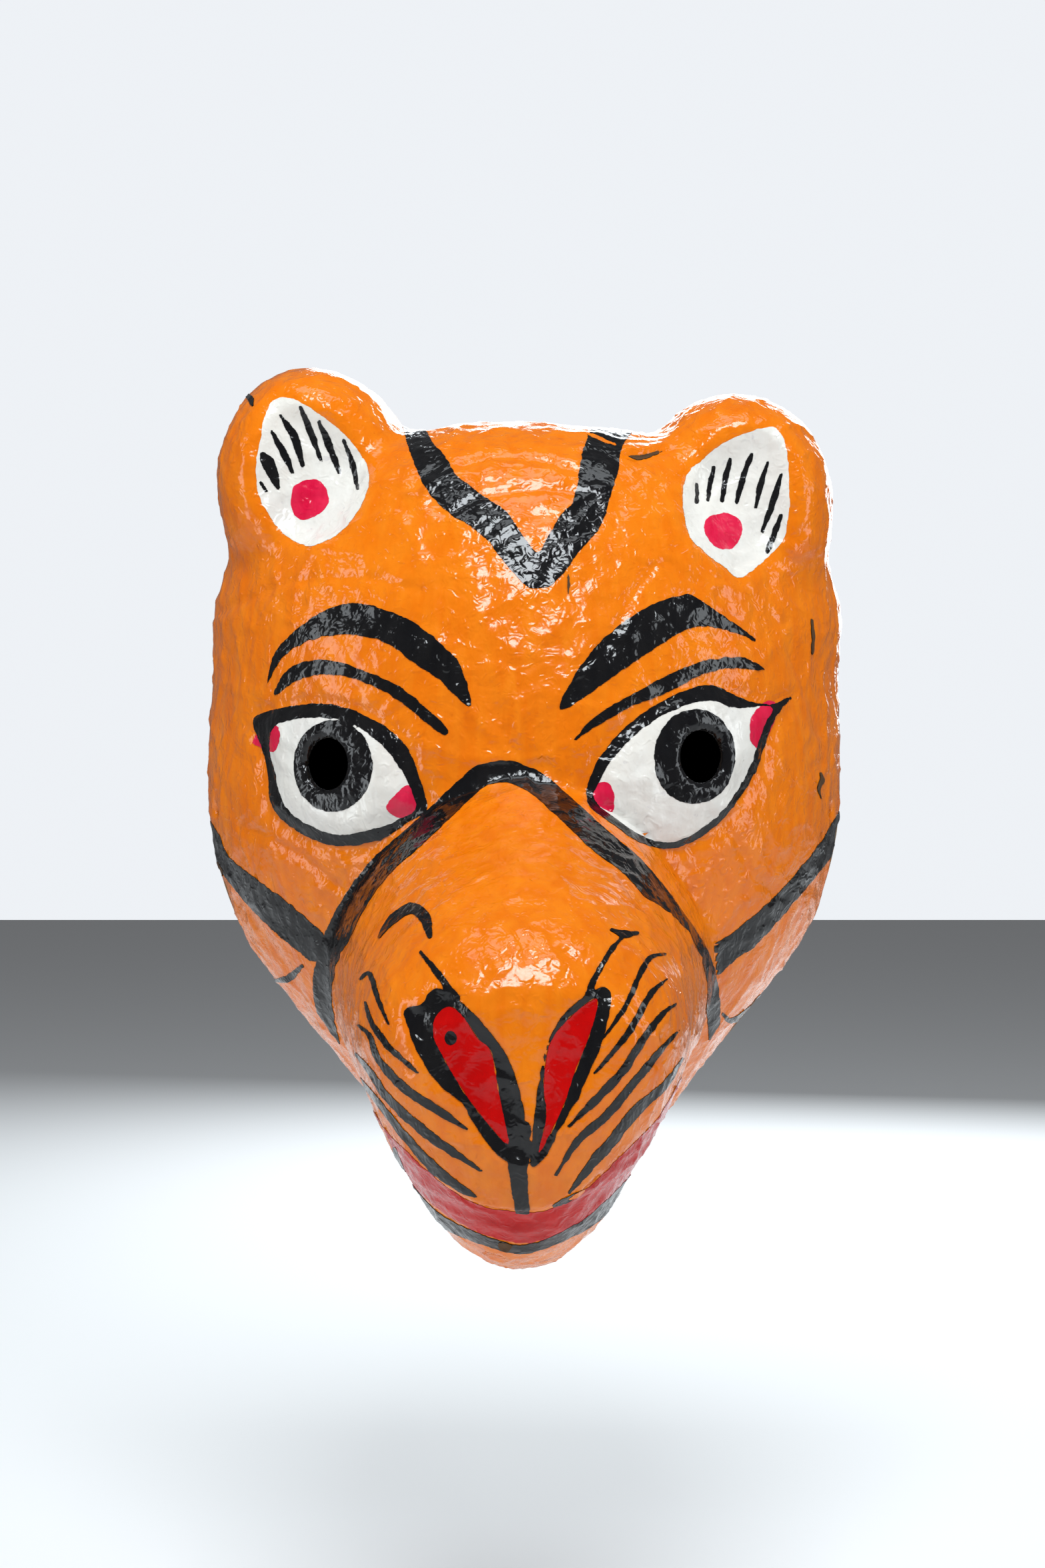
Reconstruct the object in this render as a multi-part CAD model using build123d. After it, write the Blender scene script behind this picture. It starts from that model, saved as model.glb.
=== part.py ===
from build123d import *
import math
import os

# Papier-mache tiger mask, worn on the face.  Millimetres.
# Frame: +Z up, the face looks towards -Y, the rim that lies against the wearer is the plane Y = 0.
# The origin is the middle of the crown on that rim.  +X is the right-hand side seen from the front.

# ---- driving dimensions ----
face_height = 223.0        # crown to throat, at the rim
face_width = 191.0         # widest place of the rim, at the cheekbones
face_depth = 74.0          # rim plane to the bridge of the nose
snout_reach = 150.0        # rim plane to the tip of the nose
snout_width = 106.0        # muzzle at its root
snout_shift = -1.0         # the muzzle sits a little to one side

wall = 3.0                 # laminated paper shell
paper = 0.8                # one glued strip: joint strips, patches, rim binding
lip_step = 1.0             # the upper lip stands proud of the jaw by this much

ear_half_width = 30.0
ear_half_height = 36.0
ear_depth = 33.0           # rim plane to the ridge of the ear
ear_spread = 61.0          # middle of each ear from the midline
left_ear_top = 18.0        # the left ear is the taller one
right_ear_top = 11.0
ear_tilt = 8.0             # degrees, outwards

eye_level = -98.5
eye_spread = 51.0
eye_shift = -3.0           # both eyes sit a little to one side
eye_stagger = 1.0          # the right eye sits this much above eye_level, the left one below it
eye_half_width = 6.0
eye_half_height = 7.4

lip_level = -209.0         # middle of the upper lip's edge
lip_rise = 0.009           # how fast the mouth curves up to its corners
lip_slope = 0.06           # the mouth is a little higher on +X
mouth_half_width = 40.0    # beyond it the jaw's joint runs level

rim_margin = 6.0           # strips and patches stay this far from the rim plane
strip_reach = 8.0          # joint strip past its joint, on the muzzle side
strip_gap = 0.5            # between two strips
tie_hole_radius = 2.0
tie_hole_level = -113.0
patch_radius = 7.0

# ---- worked out from them ----
half_width = face_width / 2
tie_hole_depth = rim_margin + patch_radius
past = 5.0                 # how far tool solids run past what they cut
side_turn = math.radians(82)     # half the turn of each row's arc

# Rows of the face, crown to throat: height of the midline, depth of the midline,
# half width of the rim and height of the rim, as shares of the driving dimensions.
face_rows = [
    (+0.004, -0.04, 0.835, -0.074),
    (+0.002, 0.22, 0.890, -0.112),
    (-0.034, 0.52, 0.932, -0.160),
    (-0.112, 0.74, 0.960, -0.224),
    (-0.212, 0.88, 0.980, -0.296),
    (-0.322, 0.96, 0.995, -0.377),
    (-0.430, 1.00, 1.000, -0.457),
    (-0.520, 1.00, 0.993, -0.529),
    (-0.600, 0.96, 0.950, -0.610),
    (-0.673, 0.91, 0.875, -0.682),
    (-0.762, 0.83, 0.735, -0.762),
    (-0.852, 0.72, 0.560, -0.852),
    (-0.919, 0.59, 0.440, -0.915),
    (-0.969, 0.45, 0.361, -0.955),
    (-0.996, 0.29, 0.314, -0.980),
    (-1.003, 0.12, 0.293, -0.993),
    (-1.007, -0.04, 0.283, -1.000),
]

# Cross-sections of the muzzle, from the rim plane forward: depth as a share of the reach, then top,
# widest level and bottom as shares of the face height, half width as a share, and how gabled it is.
muzzle_rows = [
    (-0.04, -0.502, -0.700, -0.973, 0.95, 1.6),
    (0.20, -0.466, -0.700, -0.996, 1.00, 1.6),
    (0.40, -0.448, -0.705, -1.020, 1.00, 1.6),
    (0.51, -0.468, -0.712, -1.028, 0.97, 1.5),
    (0.67, -0.525, -0.724, -1.030, 0.91, 1.35),
    (0.80, -0.574, -0.736, -1.014, 0.83, 1.2),
    (0.905, -0.616, -0.746, -0.966, 0.71, 1.1),
    (0.970, -0.655, -0.754, -0.908, 0.54, 1.0),
    (1.000, -0.700, -0.762, -0.848, 0.30, 1.0),
]


# Ear lobe, rim plane to its flat front: share of the ear's depth, share of its outline.
ear_rows = [(0, 1.0), (0.25, 0.99), (0.5, 0.95), (0.72, 0.87), (0.88, 0.76), (0.97, 0.66), (1.0, 0.58)]


def face_row_value(column, row):
    """A value of the face table between two rows, along a smooth curve."""
    last = len(face_rows) - 1
    index = min(int(row), last - 1)
    part = row - index
    a, b, c, d = [face_rows[min(max(k, 0), last)][column] for k in range(index - 1, index + 3)]
    if index == 0:
        a = 2 * b - c
    if index == last - 1:
        d = 2 * c - b
    bend = 2 * a - 5 * b + 4 * c - d
    turn = 3 * b - a - 3 * c + d
    return 0.5 * (2 * b + (c - a) * part + bend * part**2 + turn * part**3)


def profile_step(columns, row):
    """How far a pair of the table's curves runs at a row."""
    step = 0.05
    last = len(face_rows) - 1
    before, after = max(0, row - step), min(last, row + step)
    across, up = [face_row_value(c, after) - face_row_value(c, before) for c in columns]
    return across, up


def face_section(row, inset):
    """One row of the face, crown to throat: a flat closed outline, an arc with a chord behind the rim."""
    middle, depth, width, rim = [face_row_value(column, row) for column in range(4)]
    # the midline moves in along its own normal, and so does the rim's outline
    deeper, lower = profile_step((1, 0), row)
    run = math.hypot(deeper * face_depth, lower * face_height)
    mid_y = depth * face_depth + inset * lower * face_height / run
    mid_z = middle * face_height - inset * deeper * face_depth / run
    wider, lower = profile_step((2, 3), row)
    run = math.hypot(wider * half_width, lower * face_height)
    rim_x = width * half_width + inset * lower * face_height / run
    rim_z = rim * face_height - inset * wider * half_width / run
    points = []
    for i in range(-6, 7):
        angle = side_turn * i / 6
        crown = (math.cos(angle) - math.cos(side_turn)) / (1 - math.cos(side_turn))
        x = rim_x * math.sin(angle) / math.sin(side_turn)
        points.append(Vector(x, past - (mid_y + past) * crown, rim_z + (mid_z - rim_z) * crown))
    return Wire([Edge.make_spline(points), Edge.make_line(points[-1], points[0])])


def face_core(inset, back=0.0):
    """The solid behind the face's surface, cut off at the plane Y = back."""
    rows = range(len(face_rows))
    return Solid.make_loft([face_section(row, inset) for row in rows]) & half_space(back)


def half_space(back):
    """Everything in front of the plane Y = back."""
    size = 4 * (face_height + snout_reach)
    return Pos(0, back, 0) * Box(size, size, size, align=(Align.CENTER, Align.MAX, Align.CENTER))


def muzzle_section(row, inset):
    depth, top, wide, bottom, width, gable = row
    half = width * snout_width / 2 - inset
    high = top * face_height - inset
    level = wide * face_height
    low = bottom * face_height + inset
    points = []
    count = 24
    ridge = 0.35           # how rounded the gable's ridge stays
    throat = 0.83          # how rounded the throat stays, where the sides run in like a V
    for i in range(count):
        angle = 2 * math.pi * i / count
        side = abs(math.sin(angle))
        if math.cos(angle) > 0:
            side = ridge * side + (1 - ridge) * side**gable
        else:
            side = throat * side + (1 - throat) * side**8
        reach = (high - level) if math.cos(angle) > 0 else (level - low)
        x = snout_shift + math.copysign(half * side, math.sin(angle))
        points.append(Vector(x, -depth, level + reach * math.cos(angle)))
    return points


def muzzle_core(inset):
    """The solid inside the muzzle's surface, from behind the rim plane to the tip of the nose."""
    sections = []
    for row in muzzle_rows:
        share = row[0]
        depth = share * snout_reach - inset * max(0.0, share) ** 6
        points = muzzle_section((depth,) + row[1:], inset)
        sections.append(Wire([Edge.make_spline(points, periodic=True)]))
    return Solid.make_loft(sections)


def below_lip(shift=0.0):
    """Everything under the curved sheet on which the jaw meets the muzzle, moved up by shift."""
    lips = []
    for i in range(-3, 4):
        x = mouth_half_width * i / 3
        lips.append(Vector(x, 0, lip_level + shift + lip_rise * x * x + lip_slope * x))
    floor = lip_level - face_height
    left, right = lips[0], lips[-1]
    around = [
        right, Vector(face_width, 0, right.Z), Vector(face_width, 0, floor),
        Vector(-face_width, 0, floor), Vector(-face_width, 0, left.Z), left,
    ]
    outline = Wire([Edge.make_spline(lips), *Polyline(*around).edges()])
    length = snout_reach + 2 * face_depth
    return Solid.extrude(Face(outline).moved(Location((0, face_depth, 0))), Vector(0, -length, 0))


def eye_hole(side):
    """The wearer's sight hole, an ellipse cut straight through along Y."""
    level = eye_level + side * eye_stagger
    outline = Pos(side * eye_spread + eye_shift, level) * Ellipse(eye_half_width, eye_half_height)
    return extrude(Plane.XZ * outline, amount=snout_reach, both=True)


def side_cylinder(side, radius):
    """A cylinder along X through one side wall, on the tie hole's axis."""
    length = half_width
    place = Pos(side * (half_width + past - length / 2), -tie_hole_depth, tie_hole_level)
    return place * Rot(0, 90, 0) * Cylinder(radius, length)


def ear_body(side, inset):
    """An oval lobe with a flat front, standing off the plane Y = 0 and running a little behind it."""
    sections = []
    for depth, share in ear_rows:
        y = past if depth == 0 else -depth * (ear_depth - inset)
        plane = Plane(origin=(0, y, 0), x_dir=(1, 0, 0), z_dir=(0, -1, 0))
        across = share * (ear_half_width - inset)
        along = share * (ear_half_height - inset)
        sections.append(Wire([Edge.make_spline(oval(plane, across, along), periodic=True)]))
    lobe = Solid.make_loft(sections)
    top = left_ear_top if side < 0 else right_ear_top
    return Pos(side * ear_spread, 0, top - ear_half_height) * Rot(0, side * ear_tilt, 0) * lobe


def oval(plane, across, along):
    count = 12
    turns = [2 * math.pi * i / count for i in range(count)]
    return [plane.from_local_coords(Vector(across * math.sin(a), along * math.cos(a), 0)) for a in turns]


def write(name, solid):
    export_step(solid, f"parts/{name}.step")
    print(name, "solids", len(solid.solids()), "volume", round(solid.volume, 1))


def main():
    os.makedirs("parts", exist_ok=True)

    # The bodies that the pieces are cut from: outside, inside and one paper strip further in or out.
    front = half_space(-paper)
    face_out = face_core(0)
    face_in = face_core(wall, past - strip_gap)
    face_in_strip = face_core(wall + paper, past - strip_gap)
    face_out_strip = face_core(-paper)
    muzzle_out = muzzle_core(0)
    muzzle_in = muzzle_core(wall)
    muzzle_in_strip = muzzle_core(wall + paper)
    jaw_region = below_lip()

    # Face: forehead, eyes and cheeks, open where the muzzle is glued on.
    face_shell = (face_out & front) - face_in - muzzle_in - jaw_region
    for side in (-1, 1):
        face_shell = face_shell - eye_hole(side) - side_cylinder(side, tie_hole_radius)
    write("face_shell", face_shell)

    # Muzzle: its edge sits on the face's outer surface.
    muzzle_shell = (muzzle_out & front) - muzzle_in - face_out - jaw_region
    write("muzzle_shell", muzzle_shell)

    # Lower jaw: set back from the upper lip, and open to the back like the face.
    jaw_out = muzzle_core(lip_step) + face_out
    lower_jaw = (jaw_out & front & jaw_region) - face_in - muzzle_in
    write("lower_jaw", lower_jaw)

    # Rim binding: a strip as wide as the wall, glued on the rim's edge; it lies against the wearer.
    ring = ((face_out & front) - face_in).faces().sort_by(Axis.Y)[-1]
    write("rim_binding", Solid.extrude(ring, Vector(0, paper, 0)))

    # Ears: hollow lobes glued on the corners of the forehead, each with a strip in its root.
    clear_of_rim = half_space(-rim_margin)
    for side, name in ((-1, "left"), (1, "right")):
        hollow = ear_body(side, wall)
        ear = (ear_body(side, 0) & front) - hollow - face_out
        write(f"{name}_ear", ear)
        strip = (face_out_strip - face_out) & hollow & clear_of_rim
        write(f"{name}_ear_joint_strip", strip)

    # Strips inside, over the muzzle's joint and over the jaw's.
    strip_half = strip_reach / 2
    band = face_core(-strip_reach) - face_in
    muzzle_strip = (muzzle_in - muzzle_in_strip) & band - below_lip(strip_half + strip_gap)
    write("muzzle_joint_strip", muzzle_strip)
    lining = (face_in + muzzle_in) - (face_in_strip + muzzle_in_strip)
    jaw_strip = lining & clear_of_rim & (below_lip(strip_half) - below_lip(-strip_half))
    write("jaw_joint_strip", jaw_strip)

    # Patches: a disc of paper behind each tie hole.
    for side, name in ((-1, "left"), (1, "right")):
        disc = side_cylinder(side, patch_radius) - side_cylinder(side, tie_hole_radius)
        write(f"{name}_tie_patch", (face_in - face_in_strip) & disc)


main()
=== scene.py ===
# %% [markdown]
# # A papier-mache tiger mask
# The mask is a hollow shell of pasted paper. The CAD frame gives its true size, its sight holes and its
# tie holes. Here the paper gets its wrinkles, its paint and its lacquer. The frame comes first, because
# every piece rides on it and nothing may leave its box.

# %% Load the fixed frame
import math
import bmesh
import bpy
import numpy as np
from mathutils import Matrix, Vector, noise
from mathutils.bvhtree import BVHTree


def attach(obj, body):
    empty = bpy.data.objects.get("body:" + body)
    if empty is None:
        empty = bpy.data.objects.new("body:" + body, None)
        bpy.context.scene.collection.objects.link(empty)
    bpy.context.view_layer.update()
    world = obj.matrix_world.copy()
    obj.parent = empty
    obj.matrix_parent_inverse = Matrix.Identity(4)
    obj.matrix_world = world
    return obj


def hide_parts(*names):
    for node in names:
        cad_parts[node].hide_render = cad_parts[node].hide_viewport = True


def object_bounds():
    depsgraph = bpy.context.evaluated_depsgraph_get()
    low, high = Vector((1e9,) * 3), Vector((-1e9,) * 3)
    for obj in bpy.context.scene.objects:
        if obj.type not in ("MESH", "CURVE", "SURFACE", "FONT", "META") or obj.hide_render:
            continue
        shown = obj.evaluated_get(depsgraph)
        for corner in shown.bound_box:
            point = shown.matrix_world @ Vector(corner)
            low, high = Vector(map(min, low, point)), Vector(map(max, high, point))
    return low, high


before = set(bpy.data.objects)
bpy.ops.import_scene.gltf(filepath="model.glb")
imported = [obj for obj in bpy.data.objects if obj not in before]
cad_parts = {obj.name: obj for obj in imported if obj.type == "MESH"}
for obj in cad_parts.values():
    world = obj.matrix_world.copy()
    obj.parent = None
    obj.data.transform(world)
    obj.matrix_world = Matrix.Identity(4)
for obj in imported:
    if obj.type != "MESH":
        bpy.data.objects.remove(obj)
cad_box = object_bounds()
MM = 0.001
print("CAD box", cad_box)

# %% [markdown]
# The eye point is 700 mm in front of the rim, level with the cheekbones. The camera stands there, and
# the painter's front-view drawing is laid on the paper from the same point. One eye point for both means
# that a line drawn at the right place on paper lands at the right place on the curved face.

# %% Camera
EYE_DISTANCE = 700.0       # mm in front of the rim plane
EYE_X = -0.6
EYE_LEVEL = -105.0
VIEW_HEIGHT = 470.4        # mm seen from top to bottom at the rim plane

bpy.ops.object.camera_add(location=(EYE_X * MM, -EYE_DISTANCE * MM, EYE_LEVEL * MM), rotation=(math.pi / 2,
                                                                                               0, 0))
camera = bpy.context.object
camera.name = "camera"
camera.data.sensor_fit = "VERTICAL"
camera.data.sensor_height = 24.0
camera.data.lens = 24.0 * EYE_DISTANCE / VIEW_HEIGHT
camera.data.clip_start = 0.01
bpy.context.scene.camera = camera
bpy.context.scene.view_settings.view_transform = "Standard"

# %% [markdown]
# The paper shell could be sculpted by hand, but the CAD already holds its true form in five pieces with
# sharp joints. Real strips of wet paper bridge such joints softly. So a copy of the pieces is joined, a
# voxel remesh welds them into one skin with even quads, and smoothing rounds it as wet paper does.

# %% One skin from the CAD pieces
PAPER_NODES = ("face_shell", "muzzle_shell", "lower_jaw", "left_ear", "right_ear")
VOXEL = 1.25 * MM


def merged_copy(name, nodes):
    """A new object with the welded meshes of some CAD nodes."""
    shape = bmesh.new()
    for node in nodes:
        shape.from_mesh(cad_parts[node].data)
    bmesh.ops.remove_doubles(shape, verts=shape.verts, dist=1e-6)
    mesh = bpy.data.meshes.new(name)
    shape.to_mesh(mesh)
    shape.free()
    piece = bpy.data.objects.new(name, mesh)
    bpy.context.collection.objects.link(piece)
    return piece


def select_only(piece):
    bpy.ops.object.select_all(action="DESELECT")
    piece.select_set(True)
    bpy.context.view_layer.objects.active = piece


def apply_modifier(piece, kind, **settings):
    select_only(piece)
    modifier = piece.modifiers.new(kind.title(), kind)
    for key, value in settings.items():
        setattr(modifier, key, value)
    bpy.ops.object.modifier_apply(modifier=modifier.name)


skin = merged_copy("paper_skin", PAPER_NODES)
apply_modifier(skin, "REMESH", mode="VOXEL", voxel_size=VOXEL, adaptivity=0.0)
apply_modifier(skin, "SMOOTH", factor=0.5, iterations=3)
print("skin", len(skin.data.vertices), "vertices", len(skin.data.polygons), "faces")

# %% [markdown]
# Every point of the skin is told which CAD piece it came from, and how far it is from the joint between
# two pieces. The first cuts the skin into named pieces later; the second says where wet strips bridged.

# %% Whose paper is it
def tree_of(node):
    return BVHTree.FromPolygons(
        [v.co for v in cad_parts[node].data.vertices],
        [tuple(p.vertices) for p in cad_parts[node].data.polygons],
    )


def points_of(piece):
    flat = np.empty(len(piece.data.vertices) * 3)
    piece.data.vertices.foreach_get("co", flat)
    return flat.reshape(-1, 3)


def set_points(piece, points):
    piece.data.vertices.foreach_set("co", points.ravel())
    piece.data.update()


trees = [tree_of(node) for node in PAPER_NODES]
points = points_of(skin)
reach = np.array([[tree.find_nearest(Vector(p))[3] for tree in trees] for p in points])
owner = reach.argmin(axis=1)
joint_gap = np.sort(reach, axis=1)[:, 1]
print("points per piece", dict(zip(PAPER_NODES, np.bincount(owner))))

# %% [markdown]
# A hard inside corner where muzzle meets cheek would look like two tins soldered together. Smoothing
# only near the joints, with a vertex group as the weight, fills that corner and leaves the rest crisp.

# %% Bridge the joints
def smooth_near(name, picked_gap, fade, iterations):
    """Smooths the skin where a gap is short, fading out over the length given."""
    weight = np.clip(1.0 - picked_gap / fade, 0.0, 1.0)
    group = skin.vertex_groups.new(name=name)
    for level in range(1, 6):
        picked = np.flatnonzero((weight > (level - 1) / 5) & (weight <= level / 5))
        group.add(picked.tolist(), level / 5, "REPLACE")
    apply_modifier(skin, "SMOOTH", factor=0.5, iterations=iterations, vertex_group=name)


smooth_near("joints", joint_gap, 7 * MM, 14)
ear_gap = np.maximum(reach[:, 0], reach[:, 3:].min(axis=1))
smooth_near("ear_roots", ear_gap, 16 * MM, 90)

# %% [markdown]
# The muzzle is a little narrower in front of its root than the CAD solid, up to a twelfth of its width,
# so that the root joint shows from the front. The strips inside its joints go in with it.

# %% Draw the muzzle in
SNOUT_MIDDLE = -1.0 * MM
DRAWN_IN = ((42, 0.0), (62, 0.035), (80, 0.065), (100, 0.085), (120, 0.085), (150, 0.06))  # mm, share


def drawn_in(points):
    """Points of muzzle and jaw moved towards the muzzle's middle, more the further forward they lie."""
    share = np.interp(-points[:, 1] / MM, *zip(*DRAWN_IN))
    moved = points.copy()
    moved[:, 0] -= (points[:, 0] - SNOUT_MIDDLE) * share
    return moved


points = points_of(skin)
in_front = np.isin(owner, (1, 2))
points[in_front] = drawn_in(points)[in_front]
set_points(skin, points)

# %% [markdown]
# The painter's drawing is a flat front view in millimetres: u to the right, v up, with the eye point's
# level as zero. Curves through a few points make its outlines. A signed distance, negative inside,
# is all that is needed both to push the paper in and to cut the paint to shape.

# %% The drawing
def drawn(points_m):
    """Front-view drawing coordinates of points on the paper, in mm."""
    scale = EYE_DISTANCE / (EYE_DISTANCE + points_m[:, 1] / MM)
    u = (points_m[:, 0] / MM - EYE_X) * scale
    v = (points_m[:, 2] / MM - EYE_LEVEL) * scale
    return np.column_stack([u, v])


def smooth_line(knots, closed=False, steps=5):
    """A curve through the knots (Catmull-Rom)."""
    knots = np.array(knots, float)
    if closed:
        knots = np.vstack([knots[-1], knots, knots[:2]])
    else:
        knots = np.vstack([2 * knots[0] - knots[1], knots, 2 * knots[-1] - knots[-2]])
    line = []
    for a, b, c, d in zip(knots, knots[1:], knots[2:], knots[3:]):
        for t in np.arange(steps) / steps:
            line.append(0.5 * (2 * b + (c - a) * t + (2 * a - 5 * b + 4 * c - d) * t**2
                               + (3 * b - a - 3 * c + d) * t**3))
    if not closed:
        line.append(knots[-2])
    return np.array(line)


FAR = 50.0


def near(uv, line, margin):
    low, high = line.min(axis=0) - margin, line.max(axis=0) + margin
    return np.flatnonzero(((uv > low) & (uv < high)).all(axis=1))


def outline_distance(uv, knots):
    """Signed distance to a closed outline, negative inside."""
    line = smooth_line(knots, closed=True)
    result = np.full(len(uv), FAR)
    some = near(uv, line, 8.0)
    if len(some) == 0:
        return result
    p = uv[some]
    best = np.full(len(p), FAR)
    inside = np.zeros(len(p), bool)
    for a, b in zip(line, np.roll(line, -1, axis=0)):
        edge = b - a
        t = np.clip(((p - a) @ edge) / max(edge @ edge, 1e-9), 0, 1)
        best = np.minimum(best, np.linalg.norm(p - a - t[:, None] * edge, axis=1))
        crosses = (a[1] > p[:, 1]) != (b[1] > p[:, 1])
        with np.errstate(divide="ignore", invalid="ignore"):
            side = p[:, 0] < a[0] + (p[:, 1] - a[1]) * edge[0] / edge[1]
        inside ^= crosses & side
    result[some] = np.where(inside, -best, best)
    return result


def stroke_distance(uv, knots):
    """Signed distance to a brush stroke through (u, v, width) knots."""
    line = smooth_line(knots)
    result = np.full(len(uv), FAR)
    some = near(uv, line[:, :2], 8.0)
    if len(some) == 0:
        return result
    p = uv[some]
    best = np.full(len(p), FAR)
    for a, b in zip(line, line[1:]):
        edge = b[:2] - a[:2]
        t = np.clip(((p - a[:2]) @ edge) / max(edge @ edge, 1e-9), 0, 1)
        width = a[2] + t * (b[2] - a[2])
        best = np.minimum(best, np.linalg.norm(p - a[:2] - t[:, None] * edge, axis=1) - width / 2)
    result[some] = best
    return result


def ellipse(centre, across, along, lean=0.0, count=20):
    turns = np.arange(count) * 2 * math.pi / count
    x, y = across * np.cos(turns), along * np.sin(turns)
    c, s = math.cos(math.radians(lean)), math.sin(math.radians(lean))
    return [(centre[0] + c * a - s * b, centre[1] + s * a + c * b) for a, b in zip(x, y)]


# %% [markdown]
# The outlines that both the relief and the paint need: the oval inside each ear, the eyes, the
# nostrils and the edge of the upper lip. They are drawn a little uneven, as a hand paints them.

# %% Outlines used twice
LEFT_EAR_OVAL = [(-74, 115.5), (-67.5, 115), (-57, 108), (-50, 101), (-46, 93), (-48, 84.5), (-54, 76),
                 (-63.5, 71.5),
                 (-71.5, 75), (-77.5, 83), (-80, 91.5), (-79, 101.5), (-77, 111)]
RIGHT_EAR_OVAL = [(75, 107), (78.5, 103), (80, 94), (80, 83.5), (78.5, 74), (73.5, 68), (65.5, 62), (61,
                                                                                                     64.5),
                  (54, 70), (49.5, 75.5), (48, 85), (49, 92), (52.5, 96), (59, 101.5), (68, 105.5)]
LEFT_EYE = [(-80.5, 19.5), (-72, 22.8), (-63.5, 24), (-55.5, 23.4), (-47.8, 20.8), (-39.8, 16.2), (-34, 10),
            (-31, 2),
            (-28.6, -7.5), (-34.4, -11.4), (-40.5, -15.8), (-48, -18), (-57, -18.4), (-64, -16), (-71.5,
                                                                                                  -11),
            (-75.5, -5.5), (-76.4, 3.6), (-78.2, 11)]
LEFT_EYE_WHITE = [(-74.5, 17), (-67, 19.6), (-57.6, 19.6), (-48.4, 16.8), (-39.8, 9), (-35, 1.6), (-32, -7),
                  (-37, -10.6), (-43.8, -13.2), (-54.4, -15.2), (-63.6, -12.6), (-71.6, -6), (-74.2, 3.6),
                  (-75.8, 10)]
RIGHT_EYE = [(19.4, -5.6), (21, 3.6), (25.8, 11.6), (32.4, 18.4), (40.4, 24), (48.2, 27.8), (56.2, 29.6),
             (62, 27.4),
             (68.2, 24.8), (74.8, 24), (81, 26.2), (76.2, 20.8), (72.4, 11), (69.8, 3.6), (63, -7), (56.4,
                                                                                                     -13.8),
             (49.8, -17.8), (43, -19.4), (35, -17.4), (27.5, -12.4)]
RIGHT_EYE_WHITE = [(21.4, -4.6), (24, 2.4), (28.4, 9.4), (34.6, 15.4), (42, 20.6), (50, 24), (57, 24.8),
                   (64, 22.8),
                   (74.6, 23), (72.4, 17.2), (69.8, 9.8), (67, 2.6), (61.2, -6.6), (55, -12.6), (48.8,
                                                                                                 -16.2),
                                                                                                 (42.8,
                                                                                                  -17.6),
                   (35.6, -15.6), (28.6, -11)]
LEFT_NOSTRIL = [(-30.5, -66), (-26, -61.4), (-19.8, -64.2), (-11.8, -72), (-5.6, -80.2), (-1.6, -89.6),
                (0.8, -100),
                (2.4, -112), (-4, -113.4), (-9, -109.6), (-13.4, -103.8), (-18.2, -96), (-24.6, -90.4),
                (-30.8, -81.8),
                (-34, -73.8), (-35.4, -68)]
RIGHT_NOSTRIL = [(24.4, -61), (19, -63.4), (11.8, -69.8), (7, -79.4), (4.6, -92), (3.2, -103.8), (2.6,
                                                                                                  -114.5),
                                                                                                  (7,
                                                                                                   -111.5),
                 (11, -103.8), (16.6, -94.4), (20.8, -84.8), (24.6, -75.4), (26.6, -65)]
LIP_EDGE = [(-48, -95), (-40.4, -104.6), (-34, -111), (-26, -118.2), (-17.4, -124.2), (-8.6, -127.4), (5.4,
                                                                                                       -128.2),
            (14.2, -124.6), (22.8, -118.2), (30.8, -110.2), (39.4, -101.6), (44.6, -93.6), (50, -84)]

# %% [markdown]
# Relief goes into the real mesh, so that the outline and the shadows have it too.
# The inside of the shell moves with the outside, because it is one sheet of paper. Dents and creases
# come from seeded noise: broad hollows, sharp folds where strips overlap, and fine crumple.

# %% Outside or inside
CENTRES = np.array([(0, 40, -110), (-3, 20, -165), (-3, -40, -165), (-61, 20, -20), (61, 20, -26)]) * MM


def normals_of(piece):
    flat = np.empty(len(piece.data.vertices) * 3)
    piece.data.vertices.foreach_get("normal", flat)
    return flat.reshape(-1, 3)


points = points_of(skin)
normals = normals_of(skin)
outer = ((points - CENTRES[owner]) * normals).sum(axis=1) > 0
outward = np.where(outer[:, None], normals, -normals)


def soft_step(value, low, high):
    t = np.clip((value - low) / (high - low), 0, 1)
    return t * t * (3 - 2 * t)


def noise_at(where, scale, seed):
    """Smooth noise, one value per point; scale is in mm."""
    shifted = where / (scale * MM) + seed
    return np.array([noise.noise(Vector(p)) for p in shifted])


# %% Shape the relief
uv = drawn(points)
facing = -outward[:, 1]
front = soft_step(facing, 0.05, 0.4)
on_face, on_muzzle, on_jaw = owner == 0, owner == 1, owner == 2
relief = np.zeros(len(points))
for oval in (LEFT_EAR_OVAL, RIGHT_EAR_OVAL):
    relief -= 3.2 * soft_step(-outline_distance(uv, oval), -3.0, 7.0) * front
for eye in (LEFT_EYE, RIGHT_EYE):
    distance = outline_distance(uv, eye)
    relief += on_face * front * (1.6 * soft_step(-distance, 0.0,
                                                 9.0) - 0.9 * np.exp(-((distance - 1.0) / 2.2) ** 2))
for nostril in (LEFT_NOSTRIL, RIGHT_NOSTRIL):
    relief -= on_muzzle * front * 1.8 * soft_step(-outline_distance(uv, nostril), -1.5, 4.0)
lip = smooth_line(LIP_EDGE)
above_lip = uv[:, 1] - np.interp(uv[:, 0], lip[:, 0], lip[:, 1])
relief -= (on_jaw | on_muzzle) * outer * front * 1.5 * (1 - soft_step(above_lip, -0.9, 0.9)) * (points[:,
                                                                                                       1] < -70 * MM)


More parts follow.
